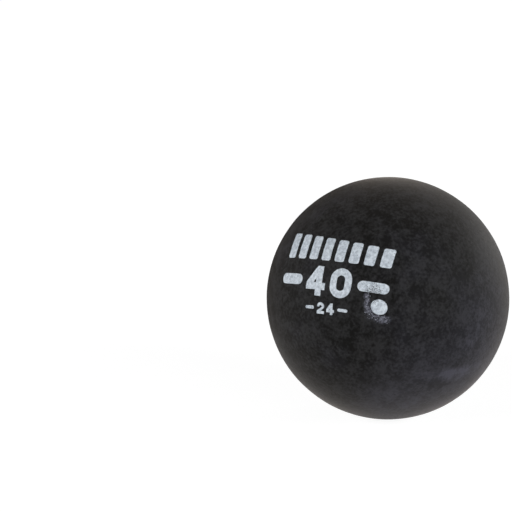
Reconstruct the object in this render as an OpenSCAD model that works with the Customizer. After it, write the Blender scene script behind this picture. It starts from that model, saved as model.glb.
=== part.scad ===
// Hollow rubber squash ball: two moulded half shells cemented along one seam, buffed round and
// stamped with ink. Millimetres. The origin is the ball's centre, +Z is up as the ball lies and
// -Y faces the viewer.

/* [Ball] */
// Outside diameter of the ball
ball_d = 40; // [36:0.5:44]
// Thickness of the rubber wall
wall_t = 5.2; // [3.5:0.1:7]

/* [Seam] */
// Thickness of the cement film between the half shells
film_t = 0.12; // [0.06:0.02:0.4]
// Bevel on the outer edge of each half shell, which the cement fills flush
rim_bevel = 0.14; // [0.06:0.02:0.4]
// Diameter of the bead of cement squeezed out inside the ball
bead_d = 0.6; // [0.5:0.1:1.4]
// Lean of the seam's axis away from straight up, in degrees
seam_lean = 20; // [0:1:90]
// Direction of that lean, in degrees from +X towards +Y
seam_heading = -45; // [-180:5:180]

/* [Front print] */
// Thickness of the printed ink
ink_t = 0.04; // [0.02:0.01:0.1]
// Turn of the front print's centre away from the front, in degrees
print_turn = -32; // [-60:1:60]
// Height of the front print's centre above the ball's middle, in degrees
print_lift = 24.5; // [0:0.5:50]
// Roll of the print's rows away from level, in degrees
print_roll = 5.5; // [-20:0.5:20]
// Gap between the rows of the print
row_gap = 1; // [0.6:0.1:2]

/* [Row of blocks] */
// Width of each block
block_w = 1.7; // [1.2:0.1:1.9]
// Height of the tallest block
block_h = 4.2; // [3.2:0.1:5]
// Height that each next block loses
block_drop = 0.15; // [0:0.05:0.2]
// Gap between two blocks
block_gap = 0.8; // [0.5:0.1:1.2]
// Radius of a block's corners
block_corner = 0.35; // [0.1:0.05:0.5]
// Number of blocks in the row
block_count = 8; // [5:1:9]

/* [Large numerals] */
// Height of a large numeral
numeral_h = 4.8; // [4.4:0.1:5.5]
// Width of a large numeral
numeral_w = 3.7; // [3.3:0.1:4.2]
// Stroke of a large numeral
numeral_stroke = 1.15; // [0.7:0.05:1.2]
// Gap between the two large numerals
numeral_gap = 0.9; // [0.5:0.1:1.5]
// Length of the bar on each side of the large numerals
side_bar_w = 4.8; // [3:0.1:5.5]
// Thickness of the side bars
side_bar_h = 1.7; // [0.8:0.1:2.5]
// Gap between a side bar and the numerals
side_bar_gap = 1; // [0.5:0.1:1.5]

/* [Small numerals] */
// Height of a small numeral
small_h = 1.8; // [1.6:0.1:2.4]
// Width of a small numeral
small_w = 1.4; // [1.3:0.1:1.5]
// Stroke of a small numeral
small_stroke = 0.44; // [0.3:0.02:0.46]
// Gap between the two small numerals
small_gap = 0.4; // [0.3:0.1:0.8]
// Length of the short bar on each side of the small numerals
short_bar_w = 1.7; // [1:0.1:2.5]
// Thickness of the short bars
short_bar_h = 0.5; // [0.3:0.1:0.9]
// Gap between a short bar and the small numerals
short_bar_gap = 0.6; // [0.3:0.1:1.2]

/* [Dots] */
// Diameter of the small plain dot at the end of the print
small_dot_d = 2.4; // [1.5:0.1:3]
// Gap from the small dot to the large numerals' row above it
small_dot_gap = 0.9; // [0.5:0.1:1.5]
// Diameter of the speed dot on the back
speed_dot_d = 4; // [3:0.5:6]

/* [Hidden] */
$fn = 120;

overrun = 1;
ball_r = ball_d / 2;
cavity_r = ball_r - wall_t;
bead_r = bead_d / 2;
stamp_reach = ball_r + ink_t + overrun;

numerals_w = 2 * numeral_w + numeral_gap;
large_row_w = numerals_w + 2 * (side_bar_gap + side_bar_w);
small_numerals_w = 2 * small_w + small_gap;
block_pitch = block_w + block_gap;

// The large numerals are centred on the print's centre, and the other rows follow from them
block_row_foot = numeral_h / 2 + row_gap;
small_row_mid = -(numeral_h + small_h) / 2 - row_gap;
small_dot_x = (large_row_w - small_dot_d) / 2;
small_dot_y = -side_bar_h / 2 - small_dot_gap - small_dot_d / 2;

// Where the strokes of a 4 lie, as shares of its width and height
four_stem_share = 0.82;
four_bar_share = 0.2;

ink_colour = "#c3cbd3";
rubber_colour = "#232324";
cement_colour = "#333335";
red_colour = "#b9252b";

// Turns what is drawn about the Z axis to the seam's own lean
module seam_axes() {
  rotate([0, seam_lean, seam_heading]) children();
}

// The space between the half shells that cement fills, about the seam plane
module seam_space() {
  cylinder(h = film_t, r = ball_r + overrun, center = true);
  rotate_extrude() polygon([
    [ball_r - rim_bevel, film_t / 2],
    [ball_r + overrun, film_t / 2 + rim_bevel + overrun],
    [ball_r + overrun, -film_t / 2 - rim_bevel - overrun],
    [ball_r - rim_bevel, -film_t / 2],
  ]);
}

// One half of the ball, above the seam plane
module half_shell() {
  difference() {
    intersection() {
      sphere(r = ball_r);
      cylinder(h = ball_r + overrun, r = ball_r + overrun);
    }
    sphere(r = cavity_r);
    seam_space();
  }
}

module upper_half_shell() {
  color(rubber_colour) seam_axes() half_shell();
}

module lower_half_shell() {
  color(rubber_colour) seam_axes() mirror([0, 0, 1]) half_shell();
}

// The film reaches a little into the cavity, where the bead that was squeezed out holds it
module seam_cement() {
  color(cement_colour) seam_axes() {
    difference() {
      intersection() {
        sphere(r = ball_r);
        seam_space();
      }
      cylinder(h = ball_d, r = cavity_r - bead_r, center = true);
    }
    rotate_extrude() translate([cavity_r - bead_r, 0]) circle(d = bead_d);
  }
}

// Turns what is drawn so that its +Z points out through the middle of the front print
module print_axes() {
  rotate([90 - print_lift, 0, print_turn]) rotate(print_roll) children();
}

// Leaves a film of ink on the ball wherever what is drawn meets its surface
module ink_film() {
  intersection() {
    difference() {
      sphere(r = ball_r + ink_t);
      sphere(r = ball_r);
    }
    children();
  }
}

// Carries a flat outline straight out to the surface under the front print
module front_stamped() {
  ink_film() print_axes() linear_extrude(stamp_reach) children();
}

// A bar with fully round ends, longer along X when w is larger than h
module round_bar(w, h) {
  d = min(w, h);
  square([w > h ? w - d : w, w > h ? h : h - d], center = true);
  for (side = [-1, 1])
    translate([side * (w - d) / 2, side * (h - d) / 2]) circle(d = d);
}

module rounded_block(w, h, r) {
  square([w, h - 2 * r], center = true);
  square([w - 2 * r, h], center = true);
  for (x = [-1, 1], y = [-1, 1])
    translate([x * (w / 2 - r), y * (h / 2 - r)]) circle(r = r);
}

// The numerals are centred on their own middle
module numeral_0(w, h, stroke) {
  difference() {
    round_bar(w, h);
    round_bar(w - 2 * stroke, h - 2 * stroke);
  }
}

module numeral_4(w, h, stroke) {
  stem_x = w * four_stem_share;
  bar_y = h * four_bar_share;
  slope = (h - bar_y - stroke) / (stem_x - stroke);
  inner_x = stroke * sqrt(1 + slope * slope) / slope;
  translate([-w / 2, -h / 2]) difference() {
    polygon([
      [0, bar_y],
      [0, bar_y + stroke],
      [stem_x - stroke, h],
      [stem_x, h],
      [stem_x, bar_y + stroke],
      [w, bar_y + stroke],
      [w, bar_y],
      [stem_x, bar_y],
      [stem_x, 0],
      [stem_x - stroke, 0],
      [stem_x - stroke, bar_y],
    ]);
    polygon([
      [inner_x, bar_y + stroke],
      [stem_x - stroke, bar_y + stroke],
      [stem_x - stroke, bar_y + stroke + slope * (stem_x - stroke - inner_x)],
    ]);
  }
}

module numeral_2(w, h, stroke) {
  bow_y = h - w / 2;
  elbow_x = stroke + (w - stroke) * stroke / bow_y;
  translate([-w / 2, -h / 2]) {
    translate([w / 2, bow_y]) difference() {
      circle(d = w);
      circle(d = w - 2 * stroke);
      translate([-w / 2 - overrun, -w - overrun]) square([w + 2 * overrun, w + overrun]);
    }
    // The diagonal and the foot, lapped a little way up into the bow
    polygon([
      [0, 0],
      [w, 0],
      [w, stroke],
      [elbow_x, stroke],
      [w, bow_y],
      [w - stroke / 2, bow_y + stroke / 2],
      [w - stroke, bow_y],
      [0, stroke],
    ]);
  }
}

module print_blocks() {
  color(ink_colour) front_stamped()
    for (i = [0:block_count - 1]) {
      h = block_h - i * block_drop;
      x = (i - (block_count - 1) / 2) * block_pitch;
      translate([x, block_row_foot + h / 2]) rounded_block(block_w, h, block_corner);
    }
}

module print_large_numerals() {
  color(ink_colour) front_stamped() {
    translate([-(numeral_w + numeral_gap) / 2, 0]) numeral_4(numeral_w, numeral_h, numeral_stroke);
    translate([(numeral_w + numeral_gap) / 2, 0]) numeral_0(numeral_w, numeral_h, numeral_stroke);
    for (side = [-1, 1])
      translate([side * (large_row_w - side_bar_w) / 2, 0]) round_bar(side_bar_w, side_bar_h);
  }
}

module print_small_numerals() {
  color(ink_colour) front_stamped() translate([0, small_row_mid]) {
    translate([-(small_w + small_gap) / 2, 0]) numeral_2(small_w, small_h, small_stroke);
    translate([(small_w + small_gap) / 2, 0]) numeral_4(small_w, small_h, small_stroke);
    for (side = [-1, 1])
      translate([side * (small_numerals_w / 2 + short_bar_gap + short_bar_w / 2), 0])
        round_bar(short_bar_w, short_bar_h);
  }
}

module print_small_dot() {
  color(ink_colour) front_stamped() translate([small_dot_x, small_dot_y]) circle(d = small_dot_d);
}

// The speed dot is stamped straight behind the front print
module speed_dot() {
  color(red_colour) ink_film() print_axes() mirror([0, 0, 1])
    linear_extrude(stamp_reach) circle(d = speed_dot_d);
}

upper_half_shell();
lower_half_shell();
seam_cement();
print_blocks();
print_large_numerals();
print_small_numerals();
print_small_dot();
speed_dot();
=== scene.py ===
import math
import random

import bmesh
import bpy
from mathutils import Matrix, Vector, noise
from mathutils.bvhtree import BVHTree
from mathutils.kdtree import KDTree


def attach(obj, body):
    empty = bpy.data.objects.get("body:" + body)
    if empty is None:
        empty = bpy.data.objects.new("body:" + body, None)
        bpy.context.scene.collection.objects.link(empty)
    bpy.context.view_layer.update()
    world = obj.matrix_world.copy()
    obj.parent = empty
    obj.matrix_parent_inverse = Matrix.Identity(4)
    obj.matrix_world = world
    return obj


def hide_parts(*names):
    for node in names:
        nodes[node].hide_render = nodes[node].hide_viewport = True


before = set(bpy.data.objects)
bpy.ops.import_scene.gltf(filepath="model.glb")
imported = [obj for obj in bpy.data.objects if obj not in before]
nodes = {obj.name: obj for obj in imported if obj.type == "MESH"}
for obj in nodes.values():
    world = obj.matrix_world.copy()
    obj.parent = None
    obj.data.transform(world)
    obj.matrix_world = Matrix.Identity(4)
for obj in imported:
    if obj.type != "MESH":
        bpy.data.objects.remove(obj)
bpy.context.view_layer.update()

mm = 0.001
ballRadius = max(v.co.length for v in nodes["upper_half_shell"].data.vertices)
skin = 0.01 * mm  # a vertex this near the ball's surface belongs to it
onCut = 1e-7  # in metres: a vertex this near a cut counts as on it

# the seam's own axes: +Z points out through the middle of the upper half shell
seam = {
    "lean": 20,  # degrees away from straight up
    "heading": -45,  # degrees from +X towards +Y
    "film": 0.12 * mm,  # cement between the flat rims
    "bevel": 0.14 * mm,  # on each half shell's outer edge
    "bead": 0.6 * mm,  # squeezed out inside the ball
    "wall": 5.2 * mm,
}
seamAxes = (
    Matrix.Rotation(math.radians(seam["heading"]), 4, "Z")
    @ Matrix.Rotation(math.radians(seam["lean"]), 4, "Y")
)

# the print's own axes: +Z points out through its middle, +X runs along its rows
stamp = {"turn": -32, "lift": 24.5, "roll": 5.5}
stampAxes = (
    Matrix.Rotation(math.radians(stamp["turn"]), 4, "Z")
    @ Matrix.Rotation(math.radians(90 - stamp["lift"]), 4, "X")
    @ Matrix.Rotation(math.radians(stamp["roll"]), 4, "Z")
)
backAxes = stampAxes @ Matrix.Rotation(math.pi, 4, "X")


def linear(hexColour):
    values = [int(hexColour[i : i + 2], 16) / 255 for i in (1, 3, 5)]
    values = [v / 12.92 if v <= 0.04045 else ((v + 0.055) / 1.055) ** 2.4 for v in values]
    return (*values, 1)


def smoothStep(low, high, value):
    t = min(max((value - low) / (high - low), 0), 1)
    return t * t * (3 - 2 * t)


def onBall(x, y):
    return Vector((x, y, math.sqrt(ballRadius**2 - x * x - y * y)))


def newPiece(name, bm, material, sharpAngle=40):
    # the extrusions leave the faces in an order of their own each run; this one is always the same
    bm.verts.index_update()
    total = len(bm.verts)
    bm.faces.sort(key=lambda f: f.verts[0].index * total + f.verts[1].index)
    mesh = bpy.data.meshes.new(name)
    bm.to_mesh(mesh)
    bm.free()
    mesh.shade_smooth()
    mesh.set_sharp_from_angle(angle=math.radians(sharpAngle))
    piece = bpy.data.objects.new(name, mesh)
    bpy.context.scene.collection.objects.link(piece)
    mesh.materials.append(material)
    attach(piece, "root")
    print(f"{name}: {len(mesh.polygons)} faces")
    return piece


def newMaterial(name):
    material = bpy.data.materials.new(name)
    material.use_nodes = True
    material.node_tree.nodes.clear()
    return material, material.node_tree


def addNode(tree, kind, inputs=None, **settings):
    node = tree.nodes.new("ShaderNode" + kind)
    for key, value in settings.items():
        setattr(node, key, value)
    for socket, value in (inputs or {}).items():
        if isinstance(value, bpy.types.NodeSocket):
            tree.links.new(value, node.inputs[socket])
        else:
            node.inputs[socket].default_value = value
    return node


def addMath(tree, operation, first, second):
    return addNode(tree, "Math", {0: first, 1: second}, operation=operation).outputs[0]


def addVectorMath(tree, operation, first, second):
    return addNode(tree, "VectorMath", {0: first, 1: second}, operation=operation).outputs["Value"]


def addRange(tree, value, span, result, kind="LINEAR"):
    ends = {"From Min": span[0], "From Max": span[1], "To Min": result[0], "To Max": result[1]}
    return addNode(tree, "MapRange", {"Value": value, **ends}, interpolation_type=kind).outputs["Result"]


def addNoise(tree, place, size, detail, roughness):
    inputs = {"Vector": place, "Scale": 1 / size, "Detail": detail, "Roughness": roughness}
    return addNode(tree, "TexNoise", inputs).outputs["Fac"]


def addRamp(tree, value, *stops):
    ramp = addNode(tree, "ValToRGB", {"Fac": value})
    for element, (position, hexColour) in zip(ramp.color_ramp.elements, stops):
        element.position = position
        element.color = linear(hexColour)
    return ramp.outputs["Color"]


def addColour(tree, share, under, hexColour):
    inputs = {0: share, 6: under, 7: linear(hexColour)}
    return addNode(tree, "Mix", inputs, data_type="RGBA").outputs[2]


# Pale ink, smeared thin below the right end of the print while it was wet. It gives the eye a
# streak and a violet-grey dusting that fade into the rubber.
smear = {
    "colour": "#9091a0",
    "grain": (0.34 * mm, 2, 0.7),  # size, detail and roughness of its noise
    "clumps": ((0.4, 0.62), (0.2, 1.8)),  # a span of that noise, and the shares of its cover there
    "dabs": (  # middles are in the print's own axes
        {"middle": (6.75 * mm, -1.50 * mm), "reach": 0.70 * mm, "cover": 0.52},
        {"middle": (6.98 * mm, -2.15 * mm), "reach": 0.60 * mm, "cover": 0.38},
        {"middle": (6.85 * mm, -2.90 * mm), "reach": 0.75 * mm, "cover": 0.36},
        {"middle": (7.15 * mm, -3.60 * mm), "reach": 0.85 * mm, "cover": 0.26},
        {"middle": (7.80 * mm, -4.10 * mm), "reach": 1.60 * mm, "cover": 0.14},
        {"middle": (8.70 * mm, -4.75 * mm), "reach": 1.10 * mm, "cover": 0.17},
        {"middle": (9.40 * mm, -4.80 * mm), "reach": 1.00 * mm, "cover": 0.34},
        {"middle": (10.1 * mm, -4.75 * mm), "reach": 0.80 * mm, "cover": 0.16},
    ),
}

# Black rubber, rough-buffed on a belt after moulding. It gives the eye a soft dark body with a
# cloudy, grainy surface, a pale velvety rim and a bluish bloom in patches. The same bluish colour is
# painted thicker towards the ball's lower right, as painted light that makes that side look lit.
rubberLook = {
    "name": "buffed_black_rubber",
    # noises: size, detail and roughness
    "clouds": (2.4 * mm, 5, 0.62),
    "specks": (0.5 * mm, 1, 0.6),
    "patches": (11 * mm, 3, 0.6),
    "grain": (0.24 * mm, 2, 0.6),  # the belt's grit leaves marks half this size, too fine to show
    "grainDepth": 0.03 * mm,
    "grainStrength": 0.7,
    "speckShare": 0.4,  # of the mottling; the rest is clouds
    "dark": (0.423, "#020202"),  # at this level of the mottling
    "light": (0.598, "#252526"),
    "roughness": ((0.3, 0.7), (0.57, 0.69)),  # a span of the clouds' noise, and what it becomes
    "ior": 1.52,
    "specular": 0.068,
    "sheen": 0.165,
    "sheenRoughness": 0.43,
    "sheenTint": "#fff3e8",
    # the colour of the haze that rubber sweats out, used also for the painted light on the lower right
    "bloomAndLight": "#43434c",
    # painted light: this share of the bluish colour, thickest on the lower right, makes that side look lit
    "paintedLightShare": 0.46,
    "paintedLightSide": (0.5, -0.54, -0.6),  # painted light: the ball is painted paler towards this side, where the lamps and the floor light it most
    "paintedLightSpan": (0.5, 0.97),  # the painted light sets in and is full at these cosines from there
    "bloomPatches": ((0.45, 0.75), (0, 0.2)),  # a span of the patches' noise, and the bloom it adds
    "paintedLightUnevenness": ((0.3, 0.7), (0.6, 1.4)),  # another, and what it multiplies the painted light by
    "bloomAndLightGrain": ((0.42, 0.6), (0.7, 1.3)),  # a span of the mottling, and what it multiplies the bloom and the painted light by
    "seamPaleBand": 0.76,  # the rubber is paler just below the seam, about one place on the lower right
    "seamPaleBandPlace": (0.56, -0.745, -0.365),
    "seamPaleBandReach": 7.5 * mm,
    "seamPaleBandTop": (-0.5 * mm, 1 * mm),  # it ends between these heights, across the seam
    "seamPaleBandFoot": (-3 * mm, -0.3 * mm),  # and fades out between these, below it
    "seamPaleBandBreaks": ((0.38, 0.62), (0.75, 1.25)),  # a span of the clouds' noise, and the same
    "smeared": True,
}

# Rubber cement, dried flush in the seam and buffed with the rubber. It differs from the rubber
# only where the painted light lies on the lower right: it takes more of it there and shows as a faint
# pale line, a painted highlight along the seam.
cementLook = {
    **rubberLook,
    "name": "dried_rubber_cement",
    "paintedLightShare": 0.52,
    "smeared": False,
}


def addSmear(tree, place, colour):
    cover = 0
    for dab in smear["dabs"]:
        away = addVectorMath(tree, "DISTANCE", place, stampAxes @ onBall(*dab["middle"]))
        dabbed = addRange(tree, away, (0, dab["reach"]), (dab["cover"], 0), "SMOOTHSTEP")
        cover = addMath(tree, "ADD", cover, dabbed)
    clumps = addRange(tree, addNoise(tree, place, *smear["grain"]), *smear["clumps"])
    return addColour(tree, addMath(tree, "MULTIPLY", cover, clumps), colour, smear["colour"])


# a paler band just below the seam, near one place on the lower right
def addSeamPaleBand(tree, place, clouds, look):
    height = addVectorMath(tree, "DOT_PRODUCT", place, seamAxes.to_3x3() @ Vector((0, 0, 1)))
    middle = Vector(look["seamPaleBandPlace"]).normalized() * ballRadius
    away = addVectorMath(tree, "DISTANCE", place, middle)
    bloomAndLight = addRange(tree, height, look["seamPaleBandTop"], (look["seamPaleBand"], 0), "SMOOTHSTEP")
    for factor in (
        addRange(tree, height, look["seamPaleBandFoot"], (0, 1), "SMOOTHSTEP"),
        addRange(tree, away, (0, look["seamPaleBandReach"]), (1, 0), "SMOOTHSTEP"),
        addRange(tree, clouds, *look["seamPaleBandBreaks"]),
    ):
        bloomAndLight = addMath(tree, "MULTIPLY", bloomAndLight, factor)
    return bloomAndLight


def makeRubber(look):
    material, tree = newMaterial(look["name"])
    place = addNode(tree, "TexCoord").outputs["Object"]
    clouds, specks, patches, grain = (
        addNoise(tree, place, *look[kind]) for kind in ("clouds", "specks", "patches", "grain")
    )
    mixed = addNode(tree, "Mix", {0: look["speckShare"], 2: clouds, 3: specks}, data_type="FLOAT")
    mottling = mixed.outputs[0]
    # painted light: the rubber is painted paler towards the lower right, where the light falls
    towards = Vector(look["paintedLightSide"]).normalized() / ballRadius
    cosine = addVectorMath(tree, "DOT_PRODUCT", place, towards)
    bloomAndLight = addRange(tree, cosine, look["paintedLightSpan"], (0, look["paintedLightShare"]), "SMOOTHSTEP")
    bloomAndLight = addMath(tree, "MULTIPLY", bloomAndLight, addRange(tree, patches, *look["paintedLightUnevenness"]))
    bloomAndLight = addMath(tree, "ADD", bloomAndLight, addRange(tree, patches, *look["bloomPatches"], "SMOOTHSTEP"))
    bloomAndLight = addMath(tree, "ADD", bloomAndLight, addSeamPaleBand(tree, place, clouds, look))
    # the bloom, the painted light and the pale band below the seam all grain with the mottling
    bloomAndLight = addMath(tree, "MULTIPLY", bloomAndLight, addRange(tree, mottling, *look["bloomAndLightGrain"]))
    colour = addColour(tree, bloomAndLight, addRamp(tree, mottling, look["dark"], look["light"]), look["bloomAndLight"])
    if look["smeared"]:
        colour = addSmear(tree, place, colour)
    bump = addNode(
        tree, "Bump", {"Strength": look["grainStrength"], "Distance": look["grainDepth"], "Height": grain}
    )
    shader = addNode(
        tree,
        "BsdfPrincipled",
        {
            "Base Color": colour,
            "Roughness": addRange(tree, clouds, *look["roughness"]),
            "Normal": bump.outputs["Normal"],
            "IOR": look["ior"],
            "Specular IOR Level": look["specular"],
            "Sheen Weight": look["sheen"],
            "Sheen Roughness": look["sheenRoughness"],
            "Sheen Tint": linear(look["sheenTint"]),
        },
    )
    addNode(tree, "OutputMaterial", {"Surface": shader.outputs["BSDF"]})
    return material


# Pale ink, pressed on with a rubber stamp. It gives the eye a chalky blue-grey film, uneven and
# pricked with pinholes, and worn thin at one end of the print.
paleInkLook = {
    "name": "pale_stamped_ink",
    # noises: size, detail and roughness
    "mottling": (0.5 * mm, 4, 0.65),
    "pinholes": (0.16 * mm, 1, 0.65),
    "thin": "#96a0ab",
    "full": "#d2dae2",
    "thinAt": 0.3,  # level of the mottling
    "fullAt": 0.62,
    "bare": "#4c4f54",
    "missed": ((0.25, 0.32), (0.8, 0)),  # a span of the pinholes' noise, and how bare it is there
    "worn": 0.3,  # taken off that noise at the worn place
    "wornPlace": stampAxes @ Vector((7.6 * mm, -1 * mm, 18.4 * mm)),
    "wornReach": 2.6 * mm,
    "pinholeDepth": 0.02 * mm,
    "pinholeStrength": 0.3,
    "ior": 1.48,
    "specular": 0.3,
    "roughness": 0.55,
}

# Red ink, pressed on the same way. It gives the eye a flat red spot with a few pinholes.
redInkLook = {
    **paleInkLook,
    "name": "red_stamped_ink",
    "mottling": (0.6 * mm, 4, 0.65),
    "thin": "#9c1e24",
    "full": "#bd272d",
    "bare": "#2d1718",
    "wornPlace": backAxes @ Vector((1.4 * mm, -1.2 * mm, 20 * mm)),
    "wornReach": 1.2 * mm,
}

# The same pale ink, in drops too thin to cover. It gives the eye a dull violet-grey dusting.
spatterLook = {
    **paleInkLook,
    "name": "pale_ink_spatter",
    "thin": "#868a98",
    "full": "#a9adba",
}


def makeInk(look):
    material, tree = newMaterial(look["name"])
    place = addNode(tree, "TexCoord").outputs["Object"]
    mottling = addNoise(tree, place, *look["mottling"])
    pinholes = addNoise(tree, place, *look["pinholes"])
    tone = addRamp(tree, mottling, (look["thinAt"], look["thin"]), (look["fullAt"], look["full"]))
    away = addVectorMath(tree, "DISTANCE", place, look["wornPlace"])
    worn = addRange(tree, away, (0, look["wornReach"]), (look["worn"], 0), "SMOOTHSTEP")
    missed = addRange(tree, addMath(tree, "SUBTRACT", pinholes, worn), *look["missed"], "SMOOTHSTEP")
    bump = addNode(
        tree,
        "Bump",
        {"Strength": look["pinholeStrength"], "Distance": look["pinholeDepth"], "Height": pinholes},
    )
    shader = addNode(
        tree,
        "BsdfPrincipled",
        {
            "Base Color": addColour(tree, missed, tone, look["bare"]),
            "Normal": bump.outputs["Normal"],
            "IOR": look["ior"],
            "Specular IOR Level": look["specular"],
            "Roughness": look["roughness"],
        },
    )
    addNode(tree, "OutputMaterial", {"Surface": shader.outputs["BSDF"]})
    return material


rubber = makeRubber(rubberLook)
cement = makeRubber(cementLook)
paleInk = makeInk(paleInkLook)
redInk = makeInk(redInkLook)
spatterInk = makeInk(spatterLook)
print("materials are ready")

shell = {
    "subdivisions": 8,
    "cavitySubdivisions": 6,
    "sliver": 0.05 * mm,  # corners nearer to each other than this are merged
    "sliverBand": 0.12 * mm,  # within this height of the cut
    "dimpleSize": 0.8 * mm,
    "dimpleDepth": 0.006 * mm,
    "dimpleNoise": (1.0, 2.0, 2),  # falloff, gap and number of its octaves
    "swellSize": 5 * mm,
    "swellDepth": 0.025 * mm,
    "blend": 0.7 * mm,  # the relief dies away over this width beside the seam
    "sharpAngle": 30,
}


def relief(point):
    fine = noise.fractal(point / shell["dimpleSize"], *shell["dimpleNoise"])
    broad = noise.noise(point / shell["swellSize"])
    return shell["dimpleDepth"] * fine + shell["swellDepth"] * broad


def ringAt(verts, radius, height):
    for v in verts:
        flat = Vector((v.co.x, v.co.y, 0)).normalized() * radius
        v.co = Vector((flat.x, flat.y, height))


def makeHalfShell(name, flip):
    rim = seam["film"] / 2
    edgeHeight = rim + seam["bevel"]
    cavityRadius = ballRadius - seam["wall"]
    bm = bmesh.new()
    bmesh.ops.create_icosphere(bm, subdivisions=shell["subdivisions"], radius=ballRadius)
    bmesh.ops.bisect_plane(
        bm, geom=bm.verts[:] + bm.edges[:] + bm.faces[:], dist=onCut,
        plane_co=(0, 0, edgeHeight), plane_no=(0, 0, 1), clear_inner=True
    )
    near = [v for v in bm.verts if v.co.z < edgeHeight + shell["sliverBand"]]
    bmesh.ops.remove_doubles(bm, verts=near, dist=shell["sliver"])
    edges = [e for e in bm.edges if e.is_boundary]
    edgeVerts = {v for e in edges for v in e.verts}
    ringAt(edgeVerts, math.sqrt(ballRadius**2 - edgeHeight**2), edgeHeight)
    for radius in (ballRadius - seam["bevel"], cavityRadius):
        made = bmesh.ops.extrude_edge_only(bm, edges=edges)["geom"]
        edges = [g for g in made if isinstance(g, bmesh.types.BMEdge) and g.is_boundary]
        ringAt([g for g in made if isinstance(g, bmesh.types.BMVert)], radius, rim)
    # the cavity's own, coarser surface is joined to the inner edge of the rim
    cavity = bmesh.ops.create_icosphere(bm, subdivisions=shell["cavitySubdivisions"], radius=cavityRadius)
    cavityVerts = cavity["verts"]
    cavityFaces = list({f for v in cavityVerts for f in v.link_faces})
    cavityEdges = list({e for v in cavityVerts for e in v.link_edges})
    cut = bmesh.ops.bisect_plane(
        bm, geom=cavityVerts + cavityEdges + cavityFaces, dist=onCut,
        plane_co=(0, 0, rim), plane_no=(0, 0, 1), clear_inner=True
    )
    cavityRim = [g for g in cut["geom_cut"] if isinstance(g, bmesh.types.BMEdge)]
    bmesh.ops.bridge_loops(bm, edges=edges + cavityRim)
    bmesh.ops.recalc_face_normals(bm, faces=bm.faces[:])
    turned = seamAxes @ Matrix.Rotation(math.pi if flip else 0, 4, "X")
    for v in bm.verts:
        if v.co.length > ballRadius - skin:
            amount = smoothStep(edgeHeight, edgeHeight + shell["blend"], v.co.z)
            v.co *= 1 + amount * relief(turned @ v.co) / ballRadius
    bmesh.ops.transform(bm, matrix=turned, verts=bm.verts[:])
    return newPiece(name, bm, rubber, shell["sharpAngle"])


upperShell = makeHalfShell("rubber_half_upper", False)
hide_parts("upper_half_shell")
lowerShell = makeHalfShell("rubber_half_lower", True)
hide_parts("lower_half_shell")
print("half shells are ready")

ring = {
    "steps": 720,  # around the seam
    "outerSteps": 4,  # from the middle of the film to either edge of the bevel
    "beadSteps": 20,
    "sunk": 0.003 * mm,  # under the ball's surface
    "ripple": 0.003 * mm,
    "rippleSize": 1.2 * mm,
}


def makeSeamCement():
    half = seam["film"] / 2
    reach = half + seam["bevel"]
    beadRadius = seam["bead"] / 2
    beadMiddle = ballRadius - seam["wall"] - beadRadius
    beadStart = math.asin(half / beadRadius)
    outerSteps = ring["outerSteps"]
    outer = [math.asin(reach / ballRadius) * k / outerSteps for k in range(outerSteps, -outerSteps - 1, -1)]
    profile = [(ballRadius * math.cos(a), ballRadius * math.sin(a)) for a in outer]
    profile.append((ballRadius - seam["bevel"], -half))
    for k in range(ring["beadSteps"] + 1):
        a = -beadStart - (2 * math.pi - 2 * beadStart) * k / ring["beadSteps"]
        profile.append((beadMiddle + beadRadius * math.cos(a), beadRadius * math.sin(a)))
    profile.append((ballRadius - seam["bevel"], half))
    bm = bmesh.new()
    verts = [bm.verts.new((r, 0, z)) for r, z in profile]
    edges = [bm.edges.new((verts[i - 1], verts[i])) for i in range(len(verts))]
    bmesh.ops.spin(
        bm, geom=verts + edges, cent=(0, 0, 0), axis=(0, 0, 1), angle=2 * math.pi,
        steps=ring["steps"], use_merge=True
    )
    bmesh.ops.recalc_face_normals(bm, faces=bm.faces[:])
    # the edges of the line stay flush with the rubber
    for v in bm.verts:
        if v.co.length > ballRadius - skin and abs(v.co.z) < reach - skin:
            lower = ring["sunk"] - ring["ripple"] * noise.noise(v.co / ring["rippleSize"])
            v.co *= 1 - lower / ballRadius
    bmesh.ops.transform(bm, matrix=seamAxes, verts=bm.verts[:])
    return newPiece("seam_cement_ring", bm, cement)


seamRing = makeSeamCement()
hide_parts("seam_cement")
print("seam is ready")

film = {
    "cell": 0.1 * mm,  # width of the squares it is cut into
    "outline": 0.012 * mm,  # height of the film at its outline
    "shoulder": 0.09 * mm,  # how far in from there it reaches its full height
    "ragged": 0.03 * mm,
    "raggedSize": 0.3 * mm,
    "even": 0.85,  # its usual share of the full height
    "swell": 0.3,  # how much that share varies
    "swellSize": 0.6 * mm,
    "root": 0.07 * mm,  # how deep the film reaches into the rubber
    "weld": 0.0005 * mm,  # corners nearer to each other than this are one
    "flatAngle": 0.01,  # in radians: faces that meet at less are one
    "seed": 5,
}
# without a seed, noise_vector would take its offsets from the clock
noise.seed_set(film["seed"])


def inkHeight(nodeName):
    return max(v.co.length for v in nodes[nodeName].data.vertices) - ballRadius


def cutInCells(bm, cell):
    for axis in (0, 1):
        low = min(v.co[axis] for v in bm.verts)
        high = max(v.co[axis] for v in bm.verts)
        normal = Vector((0, 0, 0))
        normal[axis] = 1
        for k in range(math.ceil(low / cell), math.floor(high / cell) + 1):
            bmesh.ops.bisect_plane(
                bm, geom=bm.verts[:] + bm.edges[:] + bm.faces[:], dist=onCut,
                plane_co=normal * (k * cell), plane_no=normal
            )


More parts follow.
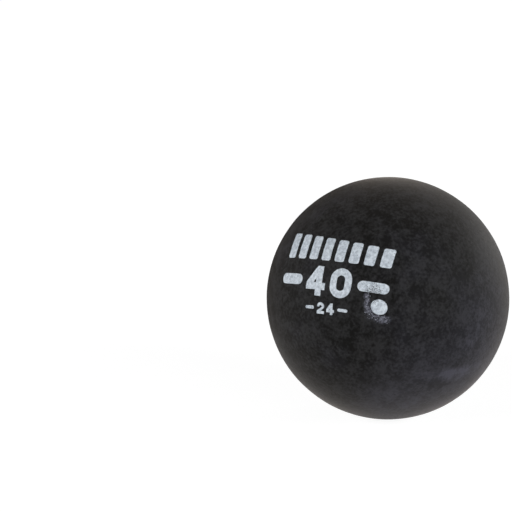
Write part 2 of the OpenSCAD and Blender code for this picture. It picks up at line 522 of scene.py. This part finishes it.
def layOnBall(bm, axes, height):
    outline = [v.co.copy() for v in bm.verts if v.is_boundary]
    nearest = KDTree(len(outline))
    for i, place in enumerate(outline):
        nearest.insert(place, i)
    nearest.balance()
    # the flat sheet becomes the film's underside, and a copy of it the face that shows
    made = bmesh.ops.extrude_face_region(bm, geom=bm.faces[:], use_keep_orig=True)["geom"]
    shown = {g for g in made if isinstance(g, bmesh.types.BMVert)}
    for v in bm.verts:
        rise = -film["root"]
        if v in shown:
            share = film["even"] + film["swell"] * noise.noise(v.co / film["swellSize"])
            thickness = height * min(share, 1)
            inward = smoothStep(0, film["shoulder"], nearest.find(v.co)[2])
            rise = film["outline"] + (thickness - film["outline"]) * inward
        v.co.z = math.sqrt((ballRadius + rise) ** 2 - v.co.x**2 - v.co.y**2)
    bmesh.ops.recalc_face_normals(bm, faces=bm.faces[:])
    bmesh.ops.transform(bm, matrix=axes, verts=bm.verts[:])


def makeInkFilm(name, nodeName, axes, material):
    height = inkHeight(nodeName)
    bm = bmesh.new()
    bm.from_mesh(nodes[nodeName].data)
    bmesh.ops.remove_doubles(bm, verts=bm.verts[:], dist=film["weld"])
    skirt = [f for f in bm.faces if min(v.co.length for v in f.verts) < ballRadius + height / 2]
    bmesh.ops.delete(bm, geom=skirt, context="FACES")
    bmesh.ops.transform(bm, matrix=axes.inverted(), verts=bm.verts[:])
    for v in bm.verts:
        v.co.z = 0
    bmesh.ops.dissolve_limit(bm, angle_limit=film["flatAngle"], verts=bm.verts[:], edges=bm.edges[:])
    cutInCells(bm, film["cell"])
    for v in {v for e in bm.edges if e.is_boundary for v in e.verts}:
        drift = noise.noise_vector(v.co / film["raggedSize"]) * film["ragged"]
        v.co += Vector((drift.x, drift.y, 0))
    layOnBall(bm, axes, height)
    piece = newPiece(name, bm, material)
    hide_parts(nodeName)


makeInkFilm("ink_blocks", "print_blocks", stampAxes, paleInk)
makeInkFilm("ink_large_numerals", "print_large_numerals", stampAxes, paleInk)
makeInkFilm("ink_small_numerals", "print_small_numerals", stampAxes, paleInk)
makeInkFilm("ink_small_dot", "print_small_dot", stampAxes, paleInk)
makeInkFilm("ink_speed_dot", "speed_dot", backAxes, redInk)
print("ink films are ready")

# ink that spattered below the print's right end; middles and spreads are in the print's own axes
fleck = {
    "seed": 7,
    "clusters": (
        {"count": 40, "middle": (6.95 * mm, -2.5 * mm), "spread": (0.25 * mm, 0.8 * mm)},
        {"count": 60, "middle": (9.3 * mm, -4.8 * mm), "spread": (0.6 * mm, 0.3 * mm)},
        {"count": 40, "middle": (7.8 * mm, -4.3 * mm), "spread": (0.6 * mm, 0.5 * mm)},
    ),
    "smallest": 0.02 * mm,
    "largest": 0.07 * mm,
    "rarity": 3,  # the higher, the fewer large drops
    "stretch": (1, 1.6),
    "turn": (-1.3, -0.5),  # in radians, from the rows
    "gap": 0.02 * mm,
    "sides": 7,
    "thickness": 0.6,  # of the print's own
}


def makeInkFlecks():
    dice = random.Random(fleck["seed"])
    inkTrees = []
    for nodeName in ("print_blocks", "print_large_numerals", "print_small_numerals", "print_small_dot"):
        inkMesh = bmesh.new()
        inkMesh.from_mesh(nodes[nodeName].data)
        inkTrees.append(BVHTree.FromBMesh(inkMesh))
        inkMesh.free()

    def onInk(x, y):
        outward = stampAxes @ onBall(x, y)
        return any(tree.ray_cast(Vector(), outward)[0] for tree in inkTrees)

    bm = bmesh.new()
    placed = []
    for cluster in fleck["clusters"]:
        for _ in range(cluster["count"]):
            x, y = (dice.gauss(m, s) for m, s in zip(cluster["middle"], cluster["spread"]))
            spare = fleck["largest"] - fleck["smallest"]
            radius = fleck["smallest"] + spare * dice.random() ** fleck["rarity"]
            stretch = dice.uniform(*fleck["stretch"])
            reach = radius * stretch + fleck["gap"]
            # six places about the drop, a radian apart
            corners = [(x + reach * math.cos(a), y + reach * math.sin(a)) for a in range(6)]
            near = any(math.hypot(x - px, y - py) < reach + pr for px, py, pr in placed)
            if near or any(onInk(*corner) for corner in corners):
                continue
            placed.append((x, y, reach))
            turned = Matrix.Rotation(dice.uniform(*fleck["turn"]), 4, "Z")
            bmesh.ops.create_circle(
                bm, cap_ends=True, segments=fleck["sides"], radius=radius,
                matrix=Matrix.Translation((x, y, 0)) @ turned @ Matrix.Scale(stretch, 4, (1, 0, 0))
            )
    bmesh.ops.poke(bm, faces=bm.faces[:])
    layOnBall(bm, stampAxes, inkHeight("print_small_dot") * fleck["thickness"])
    newPiece("ink_flecks", bm, spatterInk)


makeInkFlecks()
print("ink flecks are ready")

floorLook = {
    "colour": "#f2f2f2",
    "size": 6.0,  # in metres
    "shadowShare": 0.3,  # of the light and shade on it, seen by the camera; the rest is plain white
    "white": 0.9,
}


def addSeenSwitch(tree):
    # 1 for what the camera, a reflection or a look through glass sees, 0 for light on things
    path = addNode(tree, "LightPath")
    seen = path.outputs["Is Camera Ray"]
    for kind in ("Is Glossy Ray", "Is Transmission Ray"):
        seen = addMath(tree, "MAXIMUM", seen, path.outputs[kind])
    return seen


def addStage(name, bm, material):
    mesh = bpy.data.meshes.new(name)
    bm.to_mesh(mesh)
    bm.free()
    mesh.materials.append(material)
    item = bpy.data.objects.new(name, mesh)
    bpy.context.scene.collection.objects.link(item)
    return item


def makeFloor():
    material, tree = newMaterial("white_sweep")
    colour = linear(floorLook["colour"])
    lit = addNode(tree, "BsdfDiffuse", {"Color": colour})
    shaded = addNode(tree, "BsdfDiffuse", {"Color": [c * floorLook["shadowShare"] for c in colour]})
    white = addNode(tree, "Emission", {"Color": (1, 1, 1, 1), "Strength": floorLook["white"]})
    both = addNode(tree, "AddShader", {0: shaded.outputs[0], 1: white.outputs[0]})
    mixed = addNode(tree, "MixShader", {0: addSeenSwitch(tree), 1: lit.outputs[0], 2: both.outputs[0]})
    addNode(tree, "OutputMaterial", {"Surface": mixed.outputs[0]})
    bm = bmesh.new()
    bmesh.ops.create_grid(bm, x_segments=1, y_segments=1, size=floorLook["size"] / 2)
    bmesh.ops.translate(bm, vec=(0, 0, -ballRadius), verts=bm.verts[:])
    addStage("floor", bm, material)


# a dark card behind the ball on its left, which the camera doesn't see and which throws no shadow;
# the ball's far left edge reflects it in place of the white surroundings
flag = {
    "middle": (-23.5 * mm, 32.5 * mm),
    "width": 90 * mm,
    "height": 140 * mm,
    "colour": "#181818",
}


def makeFlag():
    material, tree = newMaterial("dark_card")
    diffuse = addNode(tree, "BsdfDiffuse", {"Color": linear(flag["colour"])})
    addNode(tree, "OutputMaterial", {"Surface": diffuse.outputs[0]})
    bm = bmesh.new()
    bmesh.ops.create_grid(bm, x_segments=1, y_segments=1, size=0.5)
    bmesh.ops.scale(bm, vec=(flag["width"], flag["height"], 1), verts=bm.verts[:])
    bmesh.ops.rotate(bm, matrix=Matrix.Rotation(math.pi / 2, 3, "X"), verts=bm.verts[:])
    away = math.atan2(flag["middle"][1], flag["middle"][0]) - math.pi / 2
    bmesh.ops.rotate(bm, matrix=Matrix.Rotation(away, 3, "Z"), verts=bm.verts[:])
    bmesh.ops.translate(bm, vec=(*flag["middle"], flag["height"] / 2 - ballRadius), verts=bm.verts[:])
    card = addStage("flag_card", bm, material)
    card.visible_camera = False
    card.visible_shadow = False


# the world's strength: as light on things, and where it is seen
surroundings = {"dim": 0.03, "white": 1.0}


def makeWorld():
    world = bpy.data.worlds.new("studio")
    bpy.context.scene.world = world
    world.use_nodes = True
    tree = world.node_tree
    tree.nodes.clear()
    dim, white = (
        addNode(tree, "Background", {"Color": (1, 1, 1, 1), "Strength": surroundings[kind]})
        for kind in ("dim", "white")
    )
    mixed = addNode(tree, "MixShader", {0: addSeenSwitch(tree), 1: dim.outputs[0], 2: white.outputs[0]})
    addNode(tree, "OutputWorld", {"Surface": mixed.outputs[0]})


# places and sizes in metres, power in watts; each lamp faces the ball
lamps = {
    "right_softbox": {"place": (0.8, -0.3, 0.3), "size": 0.4, "power": 5.4},
    "left_softbox": {"place": (-0.72, -0.42, 0.33), "size": 0.4, "power": 5.4},
    "front_softbox": {"place": (0.45, -0.74, 0.3), "size": 0.4, "power": 1.1},
    "back_right_softbox": {"place": (0.66, 0.6, 0.12), "size": 0.22, "power": 2.4},
    "back_left_softbox": {"place": (-0.8, 0.4, 0.12), "size": 0.22, "power": 0.9},
}


def makeLamp(name, place, size, power):
    data = bpy.data.lights.new(name, "AREA")
    data.shape = "DISK"
    data.size = size
    data.energy = power
    lamp = bpy.data.objects.new(name, data)
    bpy.context.scene.collection.objects.link(lamp)
    lamp.location = place
    lamp.rotation_euler = (-Vector(place)).to_track_quat("-Z", "Y").to_euler()


makeFloor()
makeFlag()
makeWorld()
for name, settings in lamps.items():
    makeLamp(name, **settings)
print("stage and lamps are ready")

# where the photograph has the ball: places in its pixels, from the frame's middle
view = {
    "lens": 250,  # in millimetres, as is the sensor
    "sensor": 36,
    "pixels": 512,
    "elevation": 20,  # in degrees
    "ballAcross": 131.84,
    "ballDown": 42.15,
    "ballPixels": 121.3,
    "nearest": 0.01,  # in metres
    "farthest": 20,
}


def makeCamera():
    focal = view["pixels"] * view["lens"] / view["sensor"]
    tilt = math.radians(view["elevation"])
    offset = math.hypot(focal, math.hypot(view["ballAcross"], view["ballDown"]))
    distance = ballRadius / math.sin(math.atan(view["ballPixels"] / offset))
    toBall = Vector((view["ballAcross"], -view["ballDown"], -focal)).normalized()
    pitch = math.asin(-math.sin(tilt) / math.hypot(toBall.y, toBall.z))
    pitch -= math.atan2(toBall.y, -toBall.z)
    ahead = -toBall.z * math.cos(pitch) - toBall.y * math.sin(pitch)
    yaw = math.atan2(toBall.x, ahead)
    data = bpy.data.cameras.new("camera")
    data.lens = view["lens"]
    data.sensor_width = view["sensor"]
    data.clip_start = view["nearest"]
    data.clip_end = view["farthest"]
    camera = bpy.data.objects.new("camera", data)
    bpy.context.scene.collection.objects.link(camera)
    camera.location = Vector((0, -math.cos(tilt), math.sin(tilt))) * distance
    # it turns to the left of the ball, which sits right of the frame's middle
    camera.rotation_euler = (math.pi / 2 + pitch, 0, yaw)
    bpy.context.scene.camera = camera


makeCamera()
bpy.context.scene.view_settings.view_transform = "Standard"
print("camera is ready")
